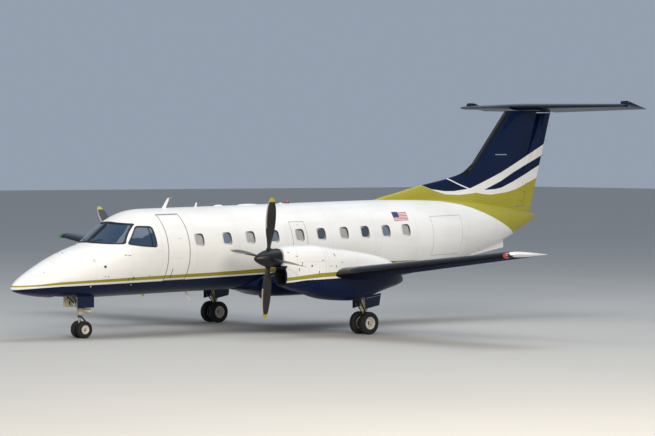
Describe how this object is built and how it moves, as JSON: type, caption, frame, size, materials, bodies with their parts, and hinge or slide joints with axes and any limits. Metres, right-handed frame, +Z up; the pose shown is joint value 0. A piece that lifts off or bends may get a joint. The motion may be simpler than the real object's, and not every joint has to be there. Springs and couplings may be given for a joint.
{
  "type": "twin-turboprop airliner",
  "caption": "Twin-turboprop T-tail airliner on its gear, with turning propellers and wheels, steering nose gear, hinged doors, flaps, ailerons, elevators and rudder.",
  "frame": {"origin": "on the ground under the middle of the bounding box", "axes": "+X to the nose, +Y to port, +Z up"},
  "size_m": [19.9665, 19.78, 6.4264],
  "materials": {
    "white_paint": "gloss white paint",
    "navy_paint": "gloss navy paint",
    "window_glass": "dark tinted glass",
    "cabin_trim": "matt dark grey trim",
    "engine_metal": "bare metal",
    "exhaust_metal": "heat-stained metal",
    "black_paint": "satin black paint",
    "leg_metal": "satin cream paint",
    "wheel_hub": "satin cream paint",
    "tyre_rubber": "worn black rubber"
  },
  "bodies": {
    "airframe": {"radome": "white_paint", "fuselage_front": "white_paint", "fuselage_centre": "white_paint", "fuselage_rear": "white_paint", "nacelle_left": "white_paint", "nacelle_right": "white_paint", "belly_fairing": "navy_paint", "wing_left": "navy_paint", "wing_right": "navy_paint", "fin": "navy_paint", "tailplane": "navy_paint", "nose_gear_door_left": "navy_paint", "nose_gear_door_right": "navy_paint", "main_gear_doors_left": "navy_paint", "main_gear_doors_right": "navy_paint", "cockpit_window_left": "window_glass", "cockpit_window_right": "window_glass", "windscreen_left": "window_glass", "windscreen_right": "window_glass", "instrument_panel": "cabin_trim", "cockpit_seats": "cabin_trim", "engine_left": "engine_metal", "engine_right": "engine_metal", "exhaust_left": "exhaust_metal", "exhaust_right": "exhaust_metal", "nose_leg": "leg_metal", "main_leg_left": "leg_metal", "main_leg_right": "leg_metal"},
    "passenger_door": {"passenger_door": "white_paint"},
    "cargo_door": {"cargo_door": "white_paint"},
    "propeller_left": {"spinner_left": "black_paint", "propeller_left": "black_paint"},
    "propeller_right": {"spinner_right": "black_paint", "propeller_right": "black_paint"},
    "nose_steering": {"nose_fork": "leg_metal"},
    "nose_wheels": {"nose_wheel_hubs": "wheel_hub", "nose_wheel_tyre_a": "tyre_rubber", "nose_wheel_tyre_b": "tyre_rubber"},
    "main_wheels_left": {"main_wheel_left_hubs": "wheel_hub", "main_wheel_left_tyre_a": "tyre_rubber", "main_wheel_left_tyre_b": "tyre_rubber"},
    "main_wheels_right": {"main_wheel_right_hubs": "wheel_hub", "main_wheel_right_tyre_a": "tyre_rubber", "main_wheel_right_tyre_b": "tyre_rubber"},
    "aileron_left": {"aileron_left": "navy_paint"},
    "aileron_right": {"aileron_right": "navy_paint"},
    "flap_inner_left": {"flap_inner_left": "navy_paint"},
    "flap_outer_left": {"flap_outer_left": "navy_paint"},
    "flap_inner_right": {"flap_inner_right": "navy_paint"},
    "flap_outer_right": {"flap_outer_right": "navy_paint"},
    "elevator_left": {"elevator_left": "navy_paint"},
    "elevator_right": {"elevator_right": "navy_paint"},
    "rudder": {"rudder": "navy_paint"},
    "rudder_tab": {"rudder_tab": "navy_paint"}
  },
  "joints": [
    {"name": "passenger_door_hinge", "type": "hinge", "parent": "airframe", "child": "passenger_door", "pos_m": [5.78618, 0.85855, 1.49072], "axis": [-0.9998, 0, 0.0195], "range_deg": [0, 140]},
    {"name": "cargo_door_hinge", "type": "hinge", "parent": "airframe", "child": "cargo_door", "pos_m": [-4.94955, 0.81957, 3.09636], "axis": [0.9967, 0.0785, -0.0194], "range_deg": [0, 95]},
    {"name": "propeller_left_spin", "type": "hinge", "parent": "airframe", "child": "propeller_left", "pos_m": [4.15513, 3.29, 2.11964], "axis": [0.9998, 0, -0.0195], "continuous": true},
    {"name": "propeller_right_spin", "type": "hinge", "parent": "airframe", "child": "propeller_right", "pos_m": [4.15513, -3.29, 2.11964], "axis": [0.9998, 0, -0.0195], "continuous": true},
    {"name": "nose_steer", "type": "hinge", "parent": "airframe", "child": "nose_steering", "pos_m": [7.868, 0, 0.62], "axis": [0.0195, 0, 0.9998], "range_deg": [-50, 50]},
    {"name": "nose_wheels_roll", "type": "hinge", "parent": "nose_steering", "child": "nose_wheels", "pos_m": [7.808, 0, 0.2285], "axis": [0, 1, 0], "continuous": true},
    {"name": "main_wheels_left_roll", "type": "hinge", "parent": "airframe", "child": "main_wheels_left", "pos_m": [0.838, 3.29, 0.305], "axis": [0, 1, 0], "continuous": true},
    {"name": "main_wheels_right_roll", "type": "hinge", "parent": "airframe", "child": "main_wheels_right", "pos_m": [0.838, -3.29, 0.305], "axis": [0, 1, 0], "continuous": true},
    {"name": "aileron_left_hinge", "type": "hinge", "parent": "airframe", "child": "aileron_left", "pos_m": [0.66113, 6.24, 1.93765], "axis": [0.0117, 0.9935, 0.1134], "range_deg": [-20, 20]},
    {"name": "aileron_right_hinge", "type": "hinge", "parent": "airframe", "child": "aileron_right", "pos_m": [0.66113, -6.24, 1.93765], "axis": [-0.0117, 0.9935, -0.1134], "range_deg": [-20, 20]},
    {"name": "flap_inner_left_hinge", "type": "hinge", "parent": "airframe", "child": "flap_inner_left", "pos_m": [0.78626, 1.29, 1.16368], "axis": [-0.007, -0.9935, -0.1133], "range_deg": [0, 45]},
    {"name": "flap_outer_left_hinge", "type": "hinge", "parent": "airframe", "child": "flap_outer_left", "pos_m": [0.80381, 3.79, 1.44879], "axis": [-0.007, -0.9935, -0.1133], "range_deg": [0, 45]},
    {"name": "flap_inner_right_hinge", "type": "hinge", "parent": "airframe", "child": "flap_inner_right", "pos_m": [0.78626, -1.29, 1.16368], "axis": [0.007, -0.9935, 0.1133], "range_deg": [0, 45]},
    {"name": "flap_outer_right_hinge", "type": "hinge", "parent": "airframe", "child": "flap_outer_right", "pos_m": [0.80381, -3.79, 1.44879], "axis": [0.007, -0.9935, 0.1133], "range_deg": [0, 45]},
    {"name": "elevator_left_hinge", "type": "hinge", "parent": "airframe", "child": "elevator_left", "pos_m": [-8.886, 0.09, 6.27272], "axis": [-0.1923, 0.9813, 0.0037], "range_deg": [0, 40]},
    {"name": "elevator_right_hinge", "type": "hinge", "parent": "airframe", "child": "elevator_right", "pos_m": [-9.48358, -3.14, 6.28437], "axis": [0.1923, 0.9813, -0.0037], "range_deg": [0, 40]},
    {"name": "rudder_hinge", "type": "hinge", "parent": "airframe", "child": "rudder", "pos_m": [-7.79991, 0, 3.10594], "axis": [-0.3119, 0, 0.9501], "range_deg": [-15, 15]},
    {"name": "rudder_tab_hinge", "type": "hinge", "parent": "rudder", "child": "rudder_tab", "pos_m": [-8.15984, 0, 3.11296], "axis": [-0.2981, 0, 0.9545], "range_deg": [-15, 15]}
  ],
  "couplings": [
    {"joint": "aileron_right_hinge", "follows": "aileron_left_hinge", "ratio": -1},
    {"joint": "flap_outer_left_hinge", "follows": "flap_inner_left_hinge", "ratio": 1},
    {"joint": "flap_inner_right_hinge", "follows": "flap_inner_left_hinge", "ratio": 1},
    {"joint": "flap_outer_right_hinge", "follows": "flap_inner_left_hinge", "ratio": 1},
    {"joint": "elevator_right_hinge", "follows": "elevator_left_hinge", "ratio": 1},
    {"joint": "rudder_tab_hinge", "follows": "rudder_hinge", "ratio": 1}
  ]
}
